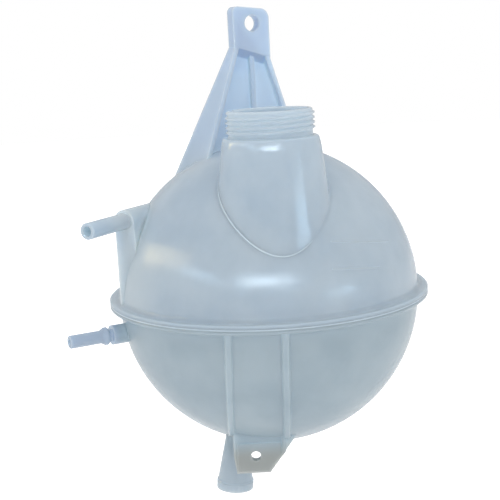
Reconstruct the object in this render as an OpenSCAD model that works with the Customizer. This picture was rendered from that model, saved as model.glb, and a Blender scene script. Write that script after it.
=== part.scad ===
// Coolant expansion tank: a ball moulded in two halves that are welded at a flange round the middle.
// The upper half carries the filler neck, the vent nipple and the tall fixing bracket.
// The lower half carries the bleed nipple, the ribbed fixing tab and the outlet.
// Shapes are worked out from the centre of the ball, with the weld in the plane z = 0, and the
// finished halves are then moved so that the middle of the upper fixing hole is the origin.
// +Z is the way the filler neck points and -Y is the side that the lower tab faces.

/* [Ball] */
// Outside diameter of the ball
ball_od = 182; // [160:1:200]
// Wall of the ball, the neck and the bosses
wall = 3; // [2:0.1:3.5]

/* [Weld flange] */
// How far the flange stands out from the ball
flange_reach = 6; // [3:0.5:10]
// Thickness of each half's own flange
flange_t = 2.5; // [1.5:0.1:4]
// Bevel on the flange's free corners
flange_bevel = 0.6; // [0.2:0.1:0.7]
// Radius of the blend where the flange leaves the ball
flange_blend = 3; // [1:0.5:3]
// Depth of the groove that takes the weld's bead, all round the rim
weld_groove = 0.5; // [0.2:0.1:0.8]

/* [Filler neck] */
// Neck axis to the right of the ball's centre
neck_right = 5.5; // [-10:0.5:12]
// Neck axis in front of the ball's centre
neck_forward = 48; // [35:0.5:50]
// Outside diameter of the neck at its shoulder
shoulder_od = 55; // [52:0.5:60]
// Height of the shoulder above the top of the ball
shoulder_rise = 8; // [4:0.5:16]
// Widening of the neck below the shoulder, on each side
neck_draft = 6.8; // [2:0.1:8]
// Diameter of the filler mouth
mouth_d = 42; // [36:0.5:44]
// Radius at which the barrel curves in below its shoulder
shoulder_crown = 45; // [35:1:55]
// Turn of that curve, on top of the draft
crown_turn = 8; // [4:0.5:9]
// Rounding of the shoulder's edge
shoulder_edge = 1.6; // [0.5:0.1:1.9]
// Height of the threaded collar above the shoulder
collar_h = 15; // [10:0.5:20]
// Diameter of the collar at the bottom of its thread
thread_root_d = 47.6; // [46.5:0.1:48]
// Chamfer on the collar's rim, inside and outside
rim_chamfer = 0.6; // [0.2:0.1:0.8]

/* [Upper bracket] */
// Turn of the bracket's face away from the front, to the right
bracket_turn = 27; // [15:1:35]
// Distance from the ball's centre back to the bracket's front face
bracket_back = 31; // [26:0.5:34]
// Depth of the bracket's head and edge ribs
head_t = 8; // [6:0.5:10]
// Thickness of the bracket's web and ribs
rib_t = 3; // [2:0.1:4]
// Height of the fixing hole above the top of the ball
fixing_rise = 71.6; // [60:0.5:85]
// Fixing hole to the right of the ball's centre, along the bracket
fixing_offset = 13.5; // [8:0.5:18]
// Diameter of the upper fixing hole
fixing_d = 10.2; // [8:0.1:12]
// Width of the bracket's head
head_w = 24.8; // [22:0.5:30]
// Head above the middle of the hole, at its higher corner
head_top = 10.4; // [9:0.2:14]
// Head below the middle of the hole, on its left
head_drop_left = 14; // [12:0.5:20]
// Head below the middle of the hole, on its right
head_drop_right = 21.6; // [18:0.5:26]
// Slope of the bracket's left edge from the vertical
left_slope = 28.7; // [20:0.1:30]
// Slope of the bracket's right edge from the vertical
right_slope = 17.7; // [10:0.1:20]
// Slope of the left gusset's front edge, out towards the ball
gusset_slope = 19.8; // [10:0.1:22]
// How far the middle rib stands out of the web
middle_rib_h = 2.6; // [1.5:0.1:4.5]
// Length of the ramp from the head down to the web
head_ramp = 4.5; // [2:0.5:4.5]

/* [Vent nipple] */
// Height of the nipple above the weld
vent_z = 53; // [40:0.5:56]
// Direction of the nipple, from the left side round to the front
vent_turn = 62; // [50:1:70]
// Nipple axis to the left of the ball's centre, seen along it
vent_offset = 56; // [48:0.5:58]
// How far the boss's end face stays inside the ball's widest circle
vent_set_in = 3.4; // [1:0.1:6]
// Width of the boss
vent_boss_w = 13; // [11:0.5:16]
// Outside diameter of the nipple
vent_od = 9.4; // [8:0.1:10.5]
// Bore of the nipple
vent_bore = 5.8; // [4:0.1:6.5]
// Length of the nipple beyond the boss
vent_len = 36; // [20:0.5:45]

/* [Bleed nipple] */
// Depth of the nipple below the weld
bleed_drop = 15.5; // [13:0.5:22]
// Direction of the nipple, from the left side round to the front
bleed_turn = 28.5; // [15:0.5:40]
// Nipple axis to the left of the ball's centre, seen along it
bleed_offset = 18.8; // [5:0.2:25]
// Diameter of the collar at the nipple's root
bleed_collar_od = 11.6; // [10:0.1:14]
// How far the collar stands out of the ball
bleed_collar_len = 9.4; // [6:0.2:14]
// Outside diameter of the nipple
bleed_od = 7.7; // [6.5:0.1:8.5]
// Bore of the nipple
bleed_bore = 4.2; // [3:0.1:4.8]
// Length of the nipple beyond the collar
bleed_len = 26.3; // [18:0.5:35]
// Diameter of the stop bead on the nipple
bleed_bead_d = 10.6; // [9.5:0.1:12]
// Groove between the collar and the stop bead
bleed_groove = 2.5; // [1.5:0.1:4]
// Length of the stop bead
bleed_bead_len = 4.6; // [3:0.1:6]

/* [Lower tab] */
// Distance from the ball's centre forward to the tab's front face
tab_forward = 50; // [42:0.5:54]
// Thickness of the tab
tab_t = 5; // [4:0.5:7]
// Tab's left edge, to the left of the ball's centre
tab_left = 25; // [22:0.5:28]
// Tab's right rib, to the right of the ball's centre
tab_right = 6; // [4:0.5:10]
// Tab's bottom edge below the bottom of the ball
tab_drop = 7.3; // [4:0.2:12]
// Width of the tab's bottom edge
tab_foot_w = 19.5; // [16:0.5:22]
// Slope of the tab's cut corner from the vertical
tab_cut = 37; // [30:1:45]
// Diameter of the lower fixing hole
tab_hole_d = 6; // [5:0.1:8]
// Hole to the right of the tab's left edge
tab_hole_in = 13; // [9:0.5:15]
// Hole above the tab's bottom edge
tab_hole_up = 10.7; // [9:0.2:12]
// How far the seat round the hole stands out of the tab
tab_seat_h = 1; // [0.5:0.1:1.5]
// Height of the seat above the middle of the hole
tab_seat_up = 7.6; // [5:0.2:9]
// Width of each rib that runs up the ball
leg_rib_w = 4; // [2:0.2:5]
// How far those ribs stand out of the ball
leg_rib_h = 1.4; // [1.4:0.1:3.5]
// Chamfer along each edge of those ribs
leg_rib_chamfer = 0.7; // [0.2:0.1:0.9]
// Lean of the left rib towards the middle as it goes down
leg_lean_left = 2; // [0:0.5:4]
// Lean of the right rib towards the left as it goes down
leg_lean_right = 1; // [0:0.5:4]

/* [Outlet] */
// Outlet root to the left of the ball's centre
outlet_left = 23.6; // [18:0.2:28]
// Outlet root in front of the ball's centre
outlet_forward = 25; // [20:0.5:28]
// Lean of the outlet to the left as it goes down
outlet_lean = 4.7; // [0:0.1:8]
// Outside diameter where the outlet leaves the ball
outlet_root_d = 13.4; // [12:0.2:18]
// Outside diameter above the end bead
outlet_tip_d = 21.2; // [18:0.2:22]
// Outside diameter of the end bead
outlet_bead_d = 22.2; // [20:0.2:24]
// Length of the end bead
outlet_bead_len = 5; // [4:0.5:8]
// Reach of the outlet below the middle of its root
outlet_len = 31.5; // [28:0.5:40]
// Wall of the outlet
outlet_wall = 2.3; // [1.6:0.1:3]

/* [Hidden] */
$fn = 96;
// Overlap that makes joined shapes one solid
lap = 0.01;
// How far a cutting shape runs past what it cuts
clear = 1;
ball_r = ball_od / 2;
hollow_r = ball_r - wall;
flange_r = ball_r + flange_reach;
// The flange's blend runs this far into the ball
blend_sunk = 0.05;
// Side of a block that takes in a whole half
block = 4 * ball_r;
// Filler neck
neck_at = [neck_right, -neck_forward];
shoulder_z = ball_r + shoulder_rise;
rim_z = shoulder_z + collar_h;
shoulder_r = shoulder_od / 2;
crown_steps = 8;
// Share of the ball's radius at which the neck's barrel starts, below the lowest point where it shows
neck_foot_share = 0.3;
neck_foot_z = ball_r * neck_foot_share;
neck_foot_r = shoulder_r + (shoulder_z - neck_foot_z) * tan(neck_draft);
// Upper bracket: x runs along its face, y is height and z is the distance in front of its back
bracket_back_face = bracket_back + head_t;
// The hole lies this far to the right of the middle of the head
head_shift = 0.6;
head_left = fixing_offset - head_w / 2 - head_shift;
head_right = head_left + head_w;
hole_z = ball_r + fixing_rise;
head_top_z = hole_z + head_top;
kink_left_z = hole_z - head_drop_left;
kink_right_z = hole_z - head_drop_right;
// Share of the ball's radius at which the bracket ends, inside the ball's wall
bracket_foot_share = 0.68;
bracket_foot_z = ball_r * bracket_foot_share;
web_left = head_left - (kink_left_z - bracket_foot_z) * tan(left_slope);
web_right = head_right + (kink_right_z - bracket_foot_z) * tan(right_slope);
left_edge_len = (kink_left_z - bracket_foot_z) / cos(left_slope);
right_edge_len = (kink_right_z - bracket_foot_z) / cos(right_slope);
// The gusset leaves the head's front face this far above the head's lower corner
gusset_start = 0.6;
// The ribs stay this far inside the head's sides and front
head_step = 0.2;
head_corner_left = 3.5;
head_corner_right = 6;
head_slope = 1.6;
// Direction of the head's lower edge, down towards the right
head_edge_turn = atan2(kink_left_z - kink_right_z, head_w);
// Middle of the upper fixing hole, seen from the centre of the ball
fixing_back = bracket_back + head_t / 2;
fixing_at = [
    fixing_offset * cos(bracket_turn) - fixing_back * sin(bracket_turn),
    fixing_offset * sin(bracket_turn) + fixing_back * cos(bracket_turn),
    hole_z
];
// Nipples: distance along each nipple's own direction to where it starts
vent_end = sqrt(ball_r * ball_r - vent_offset * vent_offset) - vent_set_in;
bleed_seat = sqrt(ball_r * ball_r - bleed_drop * bleed_drop - bleed_offset * bleed_offset);
bleed_root = bleed_seat + bleed_collar_len;
vent_chamfer = 0.6;
bleed_chamfer = 0.5;
// Stop bead: chamfer of its edge and share of its length at full diameter
bead_edge = 0.6;
bead_flat_share = 0.45;
// Lower tab
tab_bottom_z = -ball_r - tab_drop;
tab_hole_at = [-tab_left + tab_hole_in, tab_bottom_z + tab_hole_up];
// Share of the ball's radius at which the tab ends, inside the ball's wall
tab_top_share = 0.74;
tab_top_z = -ball_r * tab_top_share;
tab_foot_inset = 1.5;
tab_foot_right = -tab_left + tab_foot_inset + tab_foot_w;
tab_cut_right = tab_foot_right + (tab_top_z - tab_bottom_z) * tan(tab_cut);
tab_web_t = 2.6;
tab_rib_w = 2.4;
// The seat stays this far inside the tab's left edge, its bottom edge and its other edges
tab_seat_side = 2.4;
tab_seat_foot = 1;
tab_seat_gap = 0.8;
// Outlet
outlet_root_z = -sqrt(ball_r * ball_r - outlet_left * outlet_left - outlet_forward * outlet_forward);
outlet_cone_len = outlet_len - outlet_bead_len;
outlet_sunk = 8;

// Puts the bracket's drawing plane upright at its back face, turned to face the front right
module on_bracket() {
    rotate([0, 0, bracket_turn])
        translate([0, bracket_back_face, 0])
            rotate([90, 0, 0])
                children();
}

// Turns a shape that points along +X so that it points left and is turned towards the front
module along_nipple(turn, offset_left, z) {
    translate([0, 0, z])
        rotate([0, 0, 180 + turn])
            translate([0, -offset_left, 0])
                children();
}

// Points of an arc from one angle to another
function arc(centre, r, from, to, steps = 8) = [
    for (i = [0:steps])
        let(a = from + (to - from) * i / steps)
        [centre[0] + r * cos(a), centre[1] + r * sin(a)]
];

// One half's flange: blended into the ball, its free corner bevelled, half of the weld's groove in its rim
module flange(up) {
    blend = min(flange_blend, flange_reach / 2);
    blend_z = flange_t + blend;
    blend_r = sqrt(pow(ball_r + blend - blend_sunk, 2) - blend_z * blend_z);
    toward_ball = 180 + atan2(blend_z, blend_r);
    mirror([0, 0, up ? 0 : 1])
        rotate_extrude()
            polygon(concat(
                [
                    [hollow_r, 0],
                    [flange_r - weld_groove, 0],
                    [flange_r, weld_groove],
                    [flange_r, flange_t - flange_bevel],
                    [flange_r - flange_bevel, flange_t]
                ],
                arc([blend_r, blend_z], blend, 270, toward_ball),
                [[hollow_r, blend_z * hollow_r / ball_r]]
            ));
}

// Everything above or below the weld
module half_space(up) {
    translate([-block / 2, -block / 2, up ? 0 : -block])
        cube([block, block, block]);
}

// Outside of the neck: the drafted barrel, its crowned and rounded shoulder and the collar
module neck_outside() {
    top_slope = neck_draft + crown_turn;
    crown_top_z = shoulder_z - shoulder_edge * (1 - sin(top_slope));
    crown_foot_z = crown_top_z - shoulder_crown * (sin(top_slope) - sin(neck_draft));
    crown_foot_r = shoulder_r + (shoulder_z - crown_foot_z) * tan(neck_draft);
    crown_at = [
        crown_foot_r - shoulder_crown * cos(neck_draft),
        crown_foot_z - shoulder_crown * sin(neck_draft)
    ];
    edge_at = crown_at + (shoulder_crown - shoulder_edge) * [cos(top_slope), sin(top_slope)];
    translate([neck_at[0], neck_at[1], 0])
        rotate_extrude()
            polygon(concat(
                [[0, neck_foot_z], [neck_foot_r, neck_foot_z]],
                arc(
                    crown_at,
                    shoulder_crown,
                    neck_draft,
                    top_slope - crown_turn / crown_steps,
                    crown_steps - 1
                ),
                arc(edge_at, shoulder_edge, top_slope, 90),
                [
                    [thread_root_d / 2, shoulder_z],
                    [thread_root_d / 2, rim_z - rim_chamfer],
                    [thread_root_d / 2 - rim_chamfer, rim_z],
                    [0, rim_z]
                ]
            ));
}

// Way through the neck: the straight mouth, then the drafted barrel down into the ball
module neck_inside() {
    translate([neck_at[0], neck_at[1], 0]) {
        translate([0, 0, shoulder_z - wall - lap])
            cylinder(d = mouth_d, h = collar_h + wall + clear);
        translate([0, 0, rim_z - rim_chamfer])
            cylinder(r1 = mouth_d / 2 - lap, r2 = mouth_d / 2 + rim_chamfer, h = rim_chamfer + lap);
        translate([0, 0, neck_foot_z])
            cylinder(r1 = neck_foot_r - wall, r2 = shoulder_r - wall, h = shoulder_z - wall - neck_foot_z);
    }
}

// Outline of the bracket's head, with its higher corner on the left
module head_outline() {
    left = [head_left + head_corner_left, head_top_z - head_corner_left];
    right = [head_right - head_corner_right, head_top_z - head_slope - head_corner_right];
    step = right - left;
    top_angle = atan2(step[1], step[0]) + acos((head_corner_left - head_corner_right) / norm(step));
    polygon(concat(
        [[head_left, kink_left_z]],
        arc(left, head_corner_left, 180, top_angle),
        arc(right, head_corner_right, top_angle, 0),
        [[head_right, kink_right_z]]
    ));
}

// The upright web behind the ribs, its sides inside the ribs' thickness
module bracket_web() {
    inset = rib_t / 2;
    linear_extrude(rib_t)
        polygon([
            [head_left + inset, kink_left_z + clear],
            [head_right - inset, kink_left_z + clear],
            [head_right - inset, kink_right_z],
            [web_right - inset, bracket_foot_z],
            [web_left + inset, bracket_foot_z],
            [head_left + inset, kink_left_z]
        ]);
}

// Deep gusset down the left edge, its front edge sloping out to the ball
module left_gusset() {
    function depth(y) = head_t + (gusset_start - y) * tan(gusset_slope);
    translate([head_left + head_step, kink_left_z, 0])
        rotate([0, 0, -left_slope])
            rotate([0, 90, 0])
                linear_extrude(rib_t)
                    polygon([
                        [0, rib_t],
                        [-depth(rib_t), rib_t],
                        [-depth(-left_edge_len), -left_edge_len],
                        [0, -left_edge_len]
                    ]);
}

// Plain rib down the right edge
module right_rib() {
    translate([head_right - head_step, kink_right_z, 0])
        rotate([0, 0, right_slope])
            translate([-rib_t, -right_edge_len, 0])
                cube([rib_t, right_edge_len + rib_t / 2, head_t - head_step]);
}

// Low rib below the hole, running up into the ramp
module middle_rib() {
    translate([fixing_offset - rib_t / 2, bracket_foot_z, 0])
        cube([rib_t, kink_left_z - bracket_foot_z, rib_t + middle_rib_h]);
}

// Ramp below the head's lower edge, its ends inside the gusset and the right rib
module head_ramp_wedge() {
    inset = 0.35 * rib_t;
    translate([head_left, kink_left_z, 0])
        rotate([0, 0, -head_edge_turn])
            translate([inset, 0, 0])
                rotate([90, 0, 90])
                    linear_extrude((head_w - 2 * inset) / cos(head_edge_turn))
                        polygon([
                            [clear, rib_t / 2],
                            [clear, head_t - 2 * head_step],
                            [0, head_t - 2 * head_step],
                            [-head_ramp, rib_t - head_step],
                            [-head_ramp, rib_t / 2]
                        ]);
}

// The whole bracket
module bracket() {
    on_bracket() {
        linear_extrude(head_t)
            head_outline();
        bracket_web();
        left_gusset();
        right_rib();
        middle_rib();
        head_ramp_wedge();
    }
}

// Outline of the vent boss: upright walls under a round top
module vent_boss_outline(half_w, top_z, foot_z) {
    translate([0, top_z])
        circle(r = half_w);
    translate([-half_w, foot_z])
        square([2 * half_w, top_z - foot_z]);
}

// A plain hose nipple along +Z, with its end chamfered
module nipple(d, len, chamfer) {
    rotate_extrude()
        polygon([
            [0, -lap],
            [d / 2, -lap],
            [d / 2, len - chamfer],
            [d / 2 - chamfer, len],
            [0, len]
        ]);
}

// The vent boss and its nipple
module vent_outside() {
    along_nipple(vent_turn, vent_offset, 0) {
        rotate([90, 0, 90])
            linear_extrude(vent_end)
                vent_boss_outline(vent_boss_w / 2, vent_z, flange_t - lap);
        translate([vent_end, 0, vent_z])
            rotate([0, 90, 0])
                nipple(vent_od, vent_len, vent_chamfer);
    }
}

// Hollow of the vent boss and the bore of its nipple
module vent_inside() {
    along_nipple(vent_turn, vent_offset, 0) {
        rotate([90, 0, 90])
            linear_extrude(vent_end - wall)
                vent_boss_outline(vent_boss_w / 2 - wall, vent_z, flange_t + wall);
        translate([vent_end - wall - lap, 0, vent_z])
            rotate([0, 90, 0])
                cylinder(d = vent_bore, h = vent_len + wall + clear);
    }
}

// Upper half: dome, flange, neck, bracket and vent nipple in one moulding
module upper_half() {
    color([0.70, 0.77, 0.82])
        translate(-fixing_at)
            difference() {
                union() {
                    intersection() {
                        sphere(r = ball_r);
                        half_space(true);
                    }
                    flange(true);
                    neck_outside();
                    bracket();
                    vent_outside();
                }
                sphere(r = hollow_r);
                neck_inside();
                vent_inside();
                on_bracket()
                    translate([fixing_offset, hole_z, -clear])
                        cylinder(d = fixing_d, h = head_t + 2 * clear);
            }
}

// The bleed nipple: root collar, groove, stop bead and plain end
module bleed_outside() {
    along_nipple(bleed_turn, bleed_offset, -bleed_drop) {
        translate([bleed_seat - wall, 0, 0])
            rotate([0, 90, 0])
                cylinder(d = bleed_collar_od, h = bleed_collar_len + wall);
        translate([bleed_root, 0, 0])
            rotate([0, 90, 0])
                nipple(bleed_od, bleed_len, bleed_chamfer);
        translate([bleed_root + bleed_groove, 0, 0])
            rotate([0, 90, 0])
                bleed_bead();
    }
}

// Stop bead: steep behind, sloping towards the nipple's end
module bleed_bead() {
    rotate_extrude()
        polygon([
            [0, 0],
            [bleed_bead_d / 2 - bead_edge, 0],
            [bleed_bead_d / 2, bead_edge],
            [bleed_bead_d / 2, bleed_bead_len * bead_flat_share],
            [bleed_od / 2 - lap, bleed_bead_len],
            [0, bleed_bead_len]
        ]);
}

// Bore of the bleed nipple
module bleed_inside() {
    along_nipple(bleed_turn, bleed_offset, -bleed_drop)
        translate([bleed_seat - 2 * wall, 0, 0])
            rotate([0, 90, 0])
                cylinder(d = bleed_bore, h = 2 * wall + bleed_collar_len + bleed_len + clear);
}

// The tab plate with its thinner corner web, its edge rib and the seat round its hole
module tab() {
    translate([0, -tab_forward + tab_seat_h, 0])
        rotate([90, 0, 0]) {
            translate([0, 0, -tab_t + tab_seat_h])
                linear_extrude(tab_t - tab_seat_h)
                    polygon([
                        [-tab_left, tab_top_z],
                        [tab_right, tab_top_z],
                        [tab_right, tab_bottom_z + (tab_right - tab_foot_right) / tan(tab_cut)],
                        [tab_foot_right, tab_bottom_z],
                        [-tab_left + tab_foot_inset, tab_bottom_z],
                        [-tab_left, tab_bottom_z + tab_hole_up]
                    ]);
            translate([0, 0, -tab_t + tab_seat_h])
                linear_extrude(tab_web_t)
                    polygon([
                        [tab_right - clear, tab_top_z],
                        [tab_cut_right, tab_top_z],
                        [tab_right - clear, tab_bottom_z + (tab_right - clear - tab_foot_right) / tan(tab_cut)]
                    ]);
            intersection() {
                translate([tab_right - tab_rib_w, tab_bottom_z, -clear])
                    cube([tab_rib_w, tab_top_z - tab_bottom_z, clear + tab_seat_h]);
                translate([0, 0, -clear])
                    linear_extrude(2 * clear + tab_seat_h)
                        polygon([
                            [tab_foot_right, tab_bottom_z],
                            [tab_cut_right, tab_top_z],
                            [-tab_left, tab_top_z],
                            [-tab_left, tab_bottom_z]
                        ]);
            }
            translate([0, 0, -clear])
                linear_extrude(clear + tab_seat_h)
                    tab_seat_outline();
        }
}

// The seat round the hole, inside the tab's own outline
module tab_seat_outline() {
    seat_top_z = tab_hole_at[1] + tab_seat_up;
    seat_left = -tab_left + tab_seat_side;
    seat_right = tab_right - tab_rib_w - tab_seat_gap;
    polygon([
        [seat_left, seat_top_z],
        [seat_right, seat_top_z],
        [seat_right, tab_bottom_z + (seat_right + tab_seat_gap - tab_foot_right) / tan(tab_cut)],
        [tab_foot_right - tab_seat_gap, tab_bottom_z + tab_seat_foot],
        [seat_left, tab_bottom_z + tab_seat_foot]
    ]);
}

// One rib that follows the ball from the flange down to the tab
module leg_rib(x, lean) {
    crest_r = sqrt(ball_r * ball_r - x * x) + leg_rib_h;
    intersection() {
        rotate([0, lean, 0])
            translate([x - leg_rib_w / 2, 0, 0])
                rotate([90, 0, 90])
                    rotate_extrude()
                        polygon([
                            [0, 0],
                            [crest_r - leg_rib_chamfer, 0],
                            [crest_r, leg_rib_chamfer],
                            [crest_r, leg_rib_w - leg_rib_chamfer],
                            [crest_r - leg_rib_chamfer, leg_rib_w],
                            [0, leg_rib_w]
                        ]);
        translate([-block / 2, -block - tab_forward + tab_t, -ball_r])
            cube([block, block, ball_r - flange_t + lap]);
    }
}

// The outlet: a flared spigot with a plain end bead
module outlet(inner) {
    shrink = inner ? outlet_wall : 0;
    over = inner ? clear : 0;
    translate([-outlet_left, -outlet_forward, outlet_root_z])
        rotate([0, 180 + outlet_lean, 0]) {
            translate([0, 0, -outlet_sunk])
                cylinder(d = outlet_root_d - 2 * shrink, h = outlet_sunk + lap);
            cylinder(d1 = outlet_root_d - 2 * shrink, d2 = outlet_tip_d - 2 * shrink, h = outlet_cone_len);
            translate([0, 0, outlet_cone_len - lap])
                cylinder(
                    d = (inner ? outlet_tip_d : outlet_bead_d) - 2 * shrink,
                    h = outlet_bead_len + lap + over
                );
        }
}

// Lower half: bowl, flange, tab, ribs, bleed nipple and outlet in one moulding
module lower_half() {
    color([0.66, 0.74, 0.78])
        translate(-fixing_at)
            difference() {
                union() {
                    intersection() {
                        sphere(r = ball_r);
                        half_space(false);
                    }
                    flange(false);
                    tab();
                    leg_rib(-tab_left + leg_rib_w / 2, leg_lean_left);
                    leg_rib(tab_right + leg_rib_w / 2, leg_lean_right);
                    bleed_outside();
                    outlet(false);
                }
                sphere(r = hollow_r);
                bleed_inside();
                outlet(true);
                translate([tab_hole_at[0], -tab_forward - clear, tab_hole_at[1]])
                    rotate([-90, 0, 0])
                        cylinder(d = tab_hole_d, h = tab_t + 2 * clear);
            }
}

upper_half();
lower_half();
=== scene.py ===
"""Coolant expansion tank in milky natural plastic, hung by its bracket over a pale floor.

The two mouldings keep the frame's shape and gain what is too fine for it: the helical thread on the
filler neck, the blend at its foot and the level bars. The bead squeezed out at the weld and a pale
line of painted highlight at the neck's foot are pieces of their own, both coloured paler than the
plastic as painted light. Lengths are in millimetres from the centre of the ball, and at() gives the
frame's metres.
"""

from math import cos, pi, radians, sin, sqrt, tan

import bpy
import bmesh
from mathutils import Matrix, Quaternion, Vector


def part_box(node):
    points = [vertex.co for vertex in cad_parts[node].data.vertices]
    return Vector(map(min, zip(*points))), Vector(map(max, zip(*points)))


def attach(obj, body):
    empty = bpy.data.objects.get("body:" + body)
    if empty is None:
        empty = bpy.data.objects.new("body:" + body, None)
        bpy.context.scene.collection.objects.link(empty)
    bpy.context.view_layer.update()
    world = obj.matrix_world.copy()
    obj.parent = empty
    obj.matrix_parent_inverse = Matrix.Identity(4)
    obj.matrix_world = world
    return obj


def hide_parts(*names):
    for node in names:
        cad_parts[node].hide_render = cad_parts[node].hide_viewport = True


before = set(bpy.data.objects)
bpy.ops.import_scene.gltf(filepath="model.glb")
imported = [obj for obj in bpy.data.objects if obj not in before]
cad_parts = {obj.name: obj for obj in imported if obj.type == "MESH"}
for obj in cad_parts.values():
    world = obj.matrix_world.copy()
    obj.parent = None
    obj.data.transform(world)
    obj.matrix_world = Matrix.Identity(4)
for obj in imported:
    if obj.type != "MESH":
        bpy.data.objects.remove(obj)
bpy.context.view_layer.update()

# Sizes as in the frame
MM = 0.001
BALL_R = 91.0
FLANGE_R = 97.0
NECK_AT = Vector((5.5, -48.0, 0.0))
SHOULDER_Z = 99.0
SHOULDER_R = 27.5
NECK_DRAFT = radians(6.8)
COLLAR_R = 23.8

# The ball's centre: the flange reaches the node's right and back sides, and the weld is its foot
upper_low, upper_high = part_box("upper_half")
lower_low, lower_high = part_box("lower_half")
centre = Vector((upper_high.x - FLANGE_R * MM, upper_high.y - FLANGE_R * MM, upper_low.z))


def at(x, y, z):
    """A point given in millimetres from the centre of the ball, in the row frame."""
    return centre + Vector((x, y, z)) * MM


def on_ball(turn, height, r=BALL_R):
    """A point on the ball: degrees to the right of the front, and height above the weld."""
    a = radians(turn)
    ring_r = sqrt(r * r - height * height)
    return Vector((ring_r * sin(a), -ring_r * cos(a), height))


# Camera: at the photograph's angle, with the middle of the ball where the photograph has it
IMAGE = 500
FOCAL_PX = 1136.4
SENSOR = 36.0
CAMERA_DISTANCE = 700.0
CAMERA_ELEVATION = radians(12.5)
CAMERA_ROLL = radians(2.8)
BALL_PX = (268.5, 291.0)


def make_camera():
    data = bpy.data.cameras.new("camera")
    camera = bpy.data.objects.new("camera", data)
    bpy.context.scene.collection.objects.link(camera)
    data.sensor_width = SENSOR
    data.lens = FOCAL_PX / IMAGE * SENSOR
    data.clip_start = 0.05
    data.clip_end = 20.0
    back = Vector((0.0, -cos(CAMERA_ELEVATION), sin(CAMERA_ELEVATION)))
    right = Vector((1.0, 0.0, 0.0))
    up = right.cross(-back)
    rolled_right = cos(CAMERA_ROLL) * right - sin(CAMERA_ROLL) * up
    rolled_up = sin(CAMERA_ROLL) * right + cos(CAMERA_ROLL) * up
    looking = Matrix((rolled_right, rolled_up, back)).transposed()
    wanted = Vector((BALL_PX[0] - IMAGE / 2, IMAGE / 2 - BALL_PX[1], -FOCAL_PX)).normalized()
    turn = wanted.rotation_difference(Vector((0.0, 0.0, -1.0))).to_matrix()
    place = at(*(back * CAMERA_DISTANCE))
    camera.matrix_world = Matrix.Translation(place) @ (looking @ turn).to_4x4()
    bpy.context.scene.camera = camera


make_camera()


# Shapes grown onto the mouldings

def mesh_object(name, verts, faces):
    """A new object from points in millimetres round the ball's centre."""
    mesh = bpy.data.meshes.new(name)
    mesh.from_pydata([at(*v) for v in verts], [], faces)
    obj = bpy.data.objects.new(name, mesh)
    bpy.context.scene.collection.objects.link(obj)
    outward = bmesh.new()
    outward.from_mesh(mesh)
    bmesh.ops.recalc_face_normals(outward, faces=outward.faces)
    outward.to_mesh(mesh)
    outward.free()
    return obj


def sweep(name, rings, closed):
    """A closed solid through rings of equal count: a loop, or a bar with flat ends."""
    count = len(rings[0])
    verts = [p for ring in rings for p in ring]
    spans = len(rings) if closed else len(rings) - 1
    faces = []
    for i in range(spans):
        a = i * count
        b = (i + 1) % len(rings) * count
        for j in range(count):
            k = (j + 1) % count
            faces.append((a + j, a + k, b + k, b + j))
    if not closed:
        faces.append(tuple(range(count)))
        faces.append(tuple(range(len(verts) - 1, len(verts) - 1 - count, -1)))
    return mesh_object(name, verts, faces)


BLEND_R = 3.0
# The blend lies this far inside both surfaces where it runs out, and its root this far, to join them
BLEND_SINK = 0.02
BLEND_ROOT = 1.0
BLEND_STEPS = 8
BLEND_TURNS = 180
HALVINGS = 40


def neck_radius(z):
    """Radius of the neck's drafted barrel at a height."""
    return SHOULDER_R + (SHOULDER_Z - z) * tan(NECK_DRAFT)


def blend_middle(turn):
    """Middle of the ball that rolls between barrel and ball, and the two directions it touches in."""
    out = Vector((cos(turn), sin(turn), 0.0))
    barrel_normal = out * cos(NECK_DRAFT) + Vector((0.0, 0.0, sin(NECK_DRAFT)))
    low = 0.0
    high = SHOULDER_Z + BLEND_R
    for _ in range(HALVINGS):
        z = (low + high) / 2
        middle = NECK_AT + out * neck_radius(z) + Vector((0.0, 0.0, z)) + barrel_normal * BLEND_R
        if middle.length < BALL_R + BLEND_R:
            low = z
        else:
            high = z
    return middle, barrel_normal, middle.normalized()


def blend_ring(turn):
    """Section of the rolling-ball blend between barrel and ball, at one turn round the neck."""
    middle, barrel_normal, ball_normal = blend_middle(turn)
    between = barrel_normal.angle(ball_normal)
    side = (ball_normal - barrel_normal * barrel_normal.dot(ball_normal)).normalized()
    ring = []
    for i in range(BLEND_STEPS + 1):
        a = between * i / BLEND_STEPS
        ring.append(middle - (barrel_normal * cos(a) + side * sin(a)) * (BLEND_R + BLEND_SINK))
    halfway = barrel_normal + ball_normal
    corner = middle - halfway * BLEND_R / (1 + cos(between))
    ring.append(corner - halfway.normalized() * BLEND_ROOT)
    return ring


def make_neck_blend():
    """The blend all round the neck's foot."""
    rings = [blend_ring(2 * pi * i / BLEND_TURNS) for i in range(BLEND_TURNS)]
    return sweep("neck_blend", rings, True)


# The pale line at the neck's foot is a painted highlight laid on the blend
HIGHLIGHT_LINE_R = 0.55
HIGHLIGHT_LINE_SIDES = 8
HIGHLIGHT_LINE_START = radians(172)
HIGHLIGHT_LINE_END = radians(318)
HIGHLIGHT_LINE_STEPS = 90
HIGHLIGHT_LINE_FADE = radians(22)
HIGHLIGHT_LINE_END_SHARE = 0.2


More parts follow.
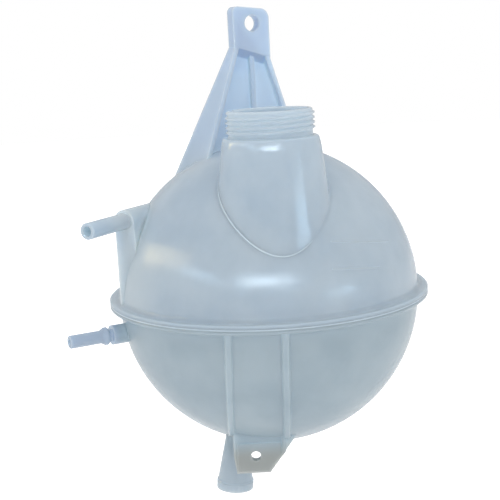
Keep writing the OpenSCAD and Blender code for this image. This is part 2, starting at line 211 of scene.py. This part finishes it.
def make_neck_highlight_line():
    """A painted highlight: a fine pale line along the front of the neck's foot, fading out at both ends.
    """
    rings = []
    for i in range(HIGHLIGHT_LINE_STEPS + 1):
        turn = HIGHLIGHT_LINE_START + (HIGHLIGHT_LINE_END - HIGHLIGHT_LINE_START) * i / HIGHLIGHT_LINE_STEPS
        from_end = min(turn - HIGHLIGHT_LINE_START, HIGHLIGHT_LINE_END - turn)
        line_r = HIGHLIGHT_LINE_R * (HIGHLIGHT_LINE_END_SHARE + (1 - HIGHLIGHT_LINE_END_SHARE) * min(1, from_end / HIGHLIGHT_LINE_FADE))
        middle, barrel_normal, ball_normal = blend_middle(turn)
        inward = -(barrel_normal + ball_normal).normalized()
        across = barrel_normal.cross(ball_normal).normalized().cross(inward)
        seat = middle + inward * (BLEND_R + HIGHLIGHT_LINE_R - line_r / 2)
        ring = []
        for j in range(HIGHLIGHT_LINE_SIDES):
            a = 2 * pi * j / HIGHLIGHT_LINE_SIDES
            ring.append(seat + (inward * cos(a) + across * sin(a)) * line_r)
        rings.append(ring)
    highlight_line = sweep("neck_highlight_line", rings, False)
    highlight_line.data.shade_smooth()
    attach(highlight_line, "root")
    return highlight_line


THREAD_CREST_R = 25.0
THREAD_PITCH = 2.7
THREAD_LOW_Z = 100.6
THREAD_HIGH_Z = 112.9
THREAD_FLAT = 0.3
THREAD_HALF_FOOT = 1.05
THREAD_SPLAY = 0.1
THREAD_SINK = 0.5
THREAD_FADE = radians(35)
THREAD_END_SHARE = 0.02
THREAD_STEP = radians(4)


def make_thread():
    """The helical ridge on the collar, running out at both ends."""
    total = 2 * pi * (THREAD_HIGH_Z - THREAD_LOW_Z) / THREAD_PITCH
    count = round(total / THREAD_STEP)
    rings = []
    for i in range(count + 1):
        a = total * i / count
        z = THREAD_LOW_Z + THREAD_PITCH * a / (2 * pi)
        share = max(THREAD_END_SHARE, min(1.0, a / THREAD_FADE, (total - a) / THREAD_FADE))
        crest = COLLAR_R + (THREAD_CREST_R - COLLAR_R) * share
        foot = COLLAR_R - THREAD_SINK
        section = [
            (foot, -THREAD_HALF_FOOT - THREAD_SPLAY),
            (COLLAR_R, -THREAD_HALF_FOOT),
            (crest, -THREAD_FLAT),
            (crest, THREAD_FLAT),
            (COLLAR_R, THREAD_HALF_FOOT),
            (foot, THREAD_HALF_FOOT + THREAD_SPLAY),
        ]
        out = Vector((cos(a), sin(a), 0.0))
        rings.append([NECK_AT + out * r + Vector((0.0, 0.0, z + h)) for r, h in section])
    return sweep("thread", rings, False)


# Each bar's two ends as turn in degrees and height above the weld
LEVEL_BARS = (((26.0, 42.0), (56.0, 36.0)), ((24.0, 28.0), (46.0, 24.0)))
BAR_RISE = 0.3
BAR_HALF_W = 0.5
BAR_TOP_SHARE = 0.6
BAR_SINK = 0.6
BAR_STEPS = 14


def make_level_bar(name, start, end):
    """A plain raised bar that marks a filling level on the right of the ball."""
    rings = []
    along = (on_ball(*end) - on_ball(*start)).normalized()
    for i in range(BAR_STEPS + 1):
        t = i / BAR_STEPS
        turn = start[0] + (end[0] - start[0]) * t
        height = start[1] + (end[1] - start[1]) * t
        out = on_ball(turn, height).normalized()
        side = out.cross(along).normalized()
        foot = out * (BALL_R - BAR_SINK)
        top = out * (BALL_R + BAR_RISE)
        top_half = BAR_HALF_W * BAR_TOP_SHARE
        rings.append([foot - side * BAR_HALF_W, top - side * top_half,
                      top + side * top_half, foot + side * BAR_HALF_W])
    return sweep(name, rings, False)


SAME_POINT = 0.000001
SHARP_FROM = radians(32)


def moulding(name, node, added):
    """One closed mesh: the frame's solid with the added shapes grown onto it. It stands for the node."""
    obj = bpy.data.objects.new(name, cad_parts[node].data.copy())
    bpy.context.scene.collection.objects.link(obj)
    mesh = obj.data
    if "custom_normal" in mesh.attributes:
        mesh.attributes.remove(mesh.attributes["custom_normal"])
    solid = bmesh.new()
    solid.from_mesh(mesh)
    bmesh.ops.remove_doubles(solid, verts=solid.verts, dist=SAME_POINT)
    solid.to_mesh(mesh)
    solid.free()
    for extra in added:
        join = obj.modifiers.new(extra.name, "BOOLEAN")
        join.operation = "UNION"
        join.solver = "MANIFOLD"
        join.object = extra
    shown = obj.evaluated_get(bpy.context.evaluated_depsgraph_get())
    whole = bpy.data.meshes.new_from_object(shown)
    obj.modifiers.clear()
    obj.data = whole
    whole.materials.clear()
    whole.shade_smooth()
    whole.set_sharp_from_angle(angle=SHARP_FROM)
    weigh = obj.modifiers.new("even_shading", "WEIGHTED_NORMAL")
    weigh.keep_sharp = True
    for extra in added:
        bpy.data.objects.remove(extra)
    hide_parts(node)
    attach(obj, "root")
    return obj


BEAD_R = 0.7
BEAD_WAVE = 0.03
# Each wave's share of the height, its count round the flange and where it starts
BEAD_WAVES = ((0.5, 23, 0.0), (0.3, 57, 1.3), (0.2, 131, 0.4))
BEAD_STEPS = 720
BEAD_SIDES = 8


def make_weld_bead():
    """The uneven bead squeezed out of the weld, lying in the groove of the flange's rim."""
    rings = []
    for i in range(BEAD_STEPS):
        a = 2 * pi * i / BEAD_STEPS
        wave = sum(share * sin(count * a + start) for share, count, start in BEAD_WAVES)
        r = BEAD_R + BEAD_WAVE * wave
        middle = FLANGE_R - BEAD_R - BEAD_WAVE
        out = Vector((cos(a), sin(a), 0.0))
        ring = []
        for j in range(BEAD_SIDES):
            b = 2 * pi * j / BEAD_SIDES
            ring.append(out * (middle + r * cos(b)) + Vector((0.0, 0.0, r * sin(b))))
        rings.append(ring)
    bead = sweep("weld_bead", rings, True)
    bead.data.shade_smooth()
    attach(bead, "root")
    return bead


# Materials

def noise(tree, place, scale, detail, stretch=(1.0, 1.0, 1.0)):
    """Noise in the frame's own coordinates, by its waves in a metre, drawn out along some axes."""
    mapping = tree.nodes.new("ShaderNodeMapping")
    mapping.inputs["Scale"].default_value = stretch
    tree.links.new(place, mapping.inputs["Vector"])
    texture = tree.nodes.new("ShaderNodeTexNoise")
    texture.inputs["Scale"].default_value = scale
    texture.inputs["Detail"].default_value = detail
    tree.links.new(mapping.outputs["Vector"], texture.inputs["Vector"])
    return texture.outputs["Fac"]


def spread(tree, value, from_low, from_high, to_low=0.0, to_high=1.0):
    """A value spread smoothly from one range to another."""
    node = tree.nodes.new("ShaderNodeMapRange")
    node.interpolation_type = "SMOOTHSTEP"
    node.inputs["From Min"].default_value = from_low
    node.inputs["From Max"].default_value = from_high
    node.inputs["To Min"].default_value = to_low
    node.inputs["To Max"].default_value = to_high
    tree.links.new(value, node.inputs["Value"])
    return node.outputs["Result"]


def product(tree, values):
    """Several values multiplied together."""
    result = values[0]
    for value in values[1:]:
        node = tree.nodes.new("ShaderNodeMath")
        node.operation = "MULTIPLY"
        tree.links.new(result, node.inputs[0])
        tree.links.new(value, node.inputs[1])
        result = node.outputs["Value"]
    return result


def blended(tree, share, low, high):
    """One colour passing into another; each is a colour or another node's output."""
    node = tree.nodes.new("ShaderNodeMix")
    node.data_type = "RGBA"
    for socket, colour in ((node.inputs[6], low), (node.inputs[7], high)):
        if isinstance(colour, tuple):
            socket.default_value = (*colour, 1.0)
        else:
            tree.links.new(colour, socket)
    tree.links.new(share, node.inputs[0])
    return node.outputs[2]


def passing(tree, share, low, high):
    """One number passing into another, the first of them another node's output."""
    node = tree.nodes.new("ShaderNodeMix")
    tree.links.new(share, node.inputs[0])
    tree.links.new(low, node.inputs[2])
    node.inputs[3].default_value = high
    return node.outputs[0]


# Painted light in corners: how far a corner is felt, how much paler the painted light makes it, and the
# share of open sky at which it is palest
CORNER_REACH = 6.0
CORNER_PAINTED_LIGHT = 1.35
CORNER_SKY = 0.3
CORNER_SAMPLES = 6


def paint_light_in_corners(tree, colour):
    """A colour made paler in the corners, where two walls meet: painted light that offsets the shade
    falling in corners and creases.
    """
    openness = tree.nodes.new("ShaderNodeAmbientOcclusion")
    openness.samples = CORNER_SAMPLES
    openness.only_local = True
    openness.inputs["Distance"].default_value = CORNER_REACH * MM
    gain = spread(tree, openness.outputs["AO"], CORNER_SKY, 1.0, CORNER_PAINTED_LIGHT, 1.0)
    node = tree.nodes.new("ShaderNodeVectorMath")
    node.operation = "SCALE"
    tree.links.new(colour, node.inputs[0])
    tree.links.new(gain, node.inputs["Scale"])
    return node.outputs["Vector"]


def ramped(tree, split, ramps):
    """Share from 0 to 1 through ramps, each an axis and where it starts and is complete."""
    steps = []
    for axis, start, end in ramps:
        zero = centre["XYZ".index(axis)]
        steps.append(spread(tree, split.outputs[axis], zero + start * MM, zero + end * MM))
    return product(tree, steps)


def bumps(tree, height, strength, distance, below):
    """Relief from a height, on top of the normal below it."""
    node = tree.nodes.new("ShaderNodeBump")
    node.inputs["Strength"].default_value = strength
    node.inputs["Distance"].default_value = distance
    tree.links.new(height, node.inputs["Height"])
    tree.links.new(below, node.inputs["Normal"])
    return node.outputs["Normal"]


REFRACTION = 1.49
SPECULAR = 0.4
# Light soaks in this far, in metres and alike for all colours, and farther by the gain in the cloud
SOAK_RADIUS = (1.0, 1.0, 1.0)
SOAK = 0.011
SOAK_GAIN = 1.1
CLEAR = 0.12
# Each noise is its waves in a metre and its detail, and its range is the part of it that shows
CLOUD = (28.0, 5.0)
CLOUD_RANGE = (0.3, 0.7)
FLOW = (60.0, 3.0)
FLOW_STRETCH = (1.0, 1.0, 0.12)
FLOW_RANGE = (0.35, 0.75)
FLOW_SHARE = 0.5
FLOW_PALER = 1.06
SMEARS = (60.0, 3.0)
SMEAR_RANGE = (0.3, 0.7)
# Roughness from clean to smeared, and what is left of it where the mould is polished
GLOSS = (0.15, 0.24)
POLISH = 0.62
EDGE_ROUND = 1.2
EDGE_SAMPLES = 4
# Each relief's noise, strength and depth in metres
RIPPLE = (45.0, 2.0)
RIPPLE_BUMP = (0.25, 0.0006)
GRAIN = (900.0, 2.0)
GRAIN_BUMP = (0.08, 0.0003)


def natural_plastic(name, deep, pale, parts=(), polished=(), milky=1.0):
    """Milky polypropylene: cloudy colour, light soaking through it, flow marks and a moulded grain.

    Each part tinted apart is given as its tint, how far light soaks into it, and its ramps; most of
    these tints are painted light or shade.
    Lengths are in millimetres from the ball's centre. What lies sunk in a moulding isn't milky, because
    no light comes out of it below the surface.
    """
    material = bpy.data.materials.new(name)
    material.use_nodes = True
    tree = material.node_tree
    shader = tree.nodes["Principled BSDF"]
    shader.inputs["IOR"].default_value = REFRACTION
    shader.inputs["Specular IOR Level"].default_value = SPECULAR
    shader.inputs["Subsurface Weight"].default_value = milky
    shader.inputs["Subsurface Radius"].default_value = SOAK_RADIUS
    shader.inputs["Transmission Weight"].default_value = CLEAR * milky
    place = tree.nodes.new("ShaderNodeTexCoord").outputs["Object"]
    split = tree.nodes.new("ShaderNodeSeparateXYZ")
    tree.links.new(place, split.inputs["Vector"])

    cloud = spread(tree, noise(tree, place, *CLOUD), *CLOUD_RANGE)
    flow = spread(tree, noise(tree, place, *FLOW, FLOW_STRETCH), *FLOW_RANGE, 0.0, FLOW_SHARE)
    milk = blended(tree, cloud, deep, pale)
    palest = tuple(c * FLOW_PALER for c in pale)
    milk = blended(tree, product(tree, (cloud, flow)), milk, palest)
    soak = spread(tree, cloud, 0.0, 1.0, SOAK, SOAK * SOAK_GAIN)
    for tint, depth, ramps in parts:
        share = ramped(tree, split, ramps)
        milk = blended(tree, share, milk, tint)
        soak = passing(tree, share, soak, depth)
    # Base colour with painted light in the corners
    tree.links.new(paint_light_in_corners(tree, milk), shader.inputs["Base Color"])
    tree.links.new(soak, shader.inputs["Subsurface Scale"])

    gloss = spread(tree, noise(tree, place, *SMEARS), *SMEAR_RANGE, *GLOSS)
    if polished:
        smooth = spread(tree, ramped(tree, split, polished), 0.0, 1.0, 1.0, POLISH)
        gloss = product(tree, (gloss, smooth))
    tree.links.new(gloss, shader.inputs["Roughness"])

    edges = tree.nodes.new("ShaderNodeBevel")
    edges.samples = EDGE_SAMPLES
    edges.inputs["Radius"].default_value = EDGE_ROUND * MM
    ripple = bumps(tree, noise(tree, place, *RIPPLE), *RIPPLE_BUMP, edges.outputs["Normal"])
    grain = bumps(tree, noise(tree, place, *GRAIN), *GRAIN_BUMP, ripple)
    tree.links.new(grain, shader.inputs["Normal"])
    return material


NECK_FRONT = (("Z", 35.0, 48.0), ("Y", -10.0, -25.0))
OUTLET = (("Z", -86.0, -96.0),)

upper_plastic = natural_plastic("upper_plastic", (0.455, 0.56, 0.675), (0.52, 0.63, 0.75), (
    # Flange rim, darker: painted shade that offsets the light it catches
    ((0.42, 0.52, 0.62), 0.008, (("Z", 2.7, 2.2),)),
    # Left side with the vent's boss, lighter: painted light in the shaded crease by the boss
    ((0.57, 0.68, 0.78), 0.011, (("X", -60.0, -76.0), ("Z", 1.0, 8.0))),
    # Bracket, then its head, bluer and lighter: painted light shining through the thin plate
    ((0.45, 0.56, 0.71), 0.011, (("Z", 70.0, 100.0), ("Y", -25.0, 5.0))),
    ((0.51, 0.62, 0.77), 0.006, (("Z", 128.0, 138.0),)),
    # Threaded collar
    ((0.485, 0.595, 0.715), 0.012, (("Z", 96.5, 98.5), ("Y", -15.0, -23.0))),
    # Vent nipple, lighter: painted light that offsets its shading
    ((0.51, 0.61, 0.71), 0.004, (("X", -80.0, -90.0), ("Z", 30.0, 42.0))),
), NECK_FRONT)
# The lower half's colours are darker than the upper's: painted shade on the lower half
lower_plastic = natural_plastic("lower_plastic", (0.38, 0.475, 0.545), (0.44, 0.54, 0.61), (
    # Bowl's top, lighter: painted light in the shade under the flange. Then the flange's rim, darker:
    # painted shade that offsets the light it catches
    ((0.45, 0.55, 0.62), 0.008, (("Z", -14.0, -3.0),)),
    ((0.37, 0.46, 0.53), 0.008, (("Z", -2.7, -2.2),)),
    # Outlet, lighter: painted light on the shaded underside
    ((0.45, 0.53, 0.60), 0.008, OUTLET),
    # Fixing tab, darker and olive: partly the thick plastic's own tone, partly painted shade
    ((0.39, 0.415, 0.41), 0.008, (("Z", -76.0, -89.0), ("Y", -38.0, -44.0))),
    # Bleed nipple, lighter: painted light that offsets its shading
    ((0.44, 0.53, 0.65), 0.004, (("X", -86.0, -93.0), ("Z", -5.0, -8.0))),
), OUTLET)
# Paler than the plastic and not milky: painted light, for the highlight line at the neck's foot and for
# the weld bead over its shaded groove
painted_light_plastic = natural_plastic("painted_light_plastic", (0.54, 0.65, 0.74), (0.60, 0.71, 0.79), milky=0.0)

bars = [make_level_bar(f"level_bar_{i}", *ends) for i, ends in enumerate(LEVEL_BARS)]
upper = moulding("upper_moulding", "upper_half", [make_neck_blend(), make_thread(), *bars])
upper.data.materials.append(upper_plastic)
lower = moulding("lower_moulding", "lower_half", [])
lower.data.materials.append(lower_plastic)
# The bead's paler colour is painted light over the shaded groove
bead = make_weld_bead()
bead.data.materials.append(painted_light_plastic)
highlight_line = make_neck_highlight_line()
highlight_line.data.materials.append(painted_light_plastic)


# Floor, surroundings and light

FLOOR_GAP = 250.0
FLOOR_R = 6.0
FLOOR_SIDES = 64
FLOOR_GREY = 0.9
FLOOR_ROUGH = 0.9
FLOOR_LIFT = 0.5
WHITE = (1.0, 1.0, 1.0)


def make_floor():
    """A pale floor well below the hung tank. To the camera it is lifted to the backdrop's white."""
    low = lower_low.z - FLOOR_GAP * MM
    mesh = bpy.data.meshes.new("floor")
    turns = [2 * pi * i / FLOOR_SIDES for i in range(FLOOR_SIDES)]
    ring = [(FLOOR_R * cos(a), FLOOR_R * sin(a), low) for a in turns]
    mesh.from_pydata(ring, [], [tuple(range(FLOOR_SIDES))])
    floor = bpy.data.objects.new("floor", mesh)
    bpy.context.scene.collection.objects.link(floor)
    material = bpy.data.materials.new("pale_floor")
    material.use_nodes = True
    nodes = material.node_tree.nodes
    links = material.node_tree.links
    shader = nodes["Principled BSDF"]
    shader.inputs["Base Color"].default_value = (FLOOR_GREY, FLOOR_GREY, FLOOR_GREY, 1.0)
    shader.inputs["Roughness"].default_value = FLOOR_ROUGH
    shader.inputs["Emission Color"].default_value = (*WHITE, 1.0)
    rays = nodes.new("ShaderNodeLightPath")
    lift = nodes.new("ShaderNodeMath")
    lift.operation = "MULTIPLY"
    lift.inputs[1].default_value = FLOOR_LIFT
    links.new(rays.outputs["Is Camera Ray"], lift.inputs[0])
    links.new(lift.outputs["Value"], shader.inputs["Emission Strength"])
    mesh.materials.append(material)


AMBIENT = 1.0
REFLECTED = 0.55


def make_world():
    """Even white studio surroundings, which are the backdrop too. Reflections find them dimmer."""
    world = bpy.data.worlds.new("studio")
    bpy.context.scene.world = world
    world.use_nodes = True
    nodes = world.node_tree.nodes
    links = world.node_tree.links
    background = nodes["Background"]
    background.inputs["Color"].default_value = (*WHITE, 1.0)
    rays = nodes.new("ShaderNodeLightPath")
    level = nodes.new("ShaderNodeMapRange")
    level.inputs["To Min"].default_value = AMBIENT
    level.inputs["To Max"].default_value = REFLECTED
    links.new(rays.outputs["Is Glossy Ray"], level.inputs["Value"])
    links.new(level.outputs["Result"], background.inputs["Strength"])


def lamp(name, azimuth, elevation, distance, size, power, colour, glint=False, roll=0.0):
    """An area lamp that faces the ball. Azimuth runs from the front to the right, in degrees.

    Distance and size are in metres, and power in watts.
    A glint lamp only shows as a reflection, as a small bright window does, and casts no shadow.
    """
    data = bpy.data.lights.new(name, "AREA")
    data.shape = "RECTANGLE"
    data.size = size[0]
    data.size_y = size[1]
    data.energy = power
    data.color = colour
    light = bpy.data.objects.new(name, data)
    bpy.context.scene.collection.objects.link(light)
    a = radians(azimuth)
    e = radians(elevation)
    back = Vector((sin(a) * cos(e), -cos(a) * cos(e), sin(e)))
    light.location = centre + back * distance
    light.rotation_mode = "QUATERNION"
    rolled = Quaternion((0.0, 0.0, 1.0), radians(roll))
    light.rotation_quaternion = back.to_track_quat("Z", "Y") @ rolled
    light.visible_diffuse = not glint
    data.use_shadow = not glint
    data.cycles.use_multiple_importance_sampling = not glint


make_floor()
make_world()
# The glow across the front with its bluish ends, the neck's streak and the warm glow on the left
lamp("front_strip", -1, 19.4, 1.4, (1.0, 0.16), 6.6, (0.78, 0.91, 1.0), glint=True)
lamp("long_strip", -5, 19.6, 1.4, (1.96, 0.08), 2.6, (0.55, 0.78, 1.0), glint=True)
lamp("left_strip", -56, 20, 1.4, (0.8, 0.06), 1.6, (0.55, 0.78, 1.0), glint=True)
lamp("right_strip", 53, 5.4, 1.4, (0.6, 0.085), 1.45, (0.52, 0.78, 1.0), glint=True)
lamp("left_lamp", -91, 21.5, 1.4, (1.25, 0.22), 3.7, (1.0, 0.80, 0.42), glint=True, roll=17)
# The plain light
lamp("front_soft", 5, 16, 1.6, (1.8, 1.2), 1.6, WHITE)
lamp("overhead", -20, 70, 1.5, (1.2, 1.2), 1.2, WHITE)

bpy.context.scene.view_settings.view_transform = "Standard"
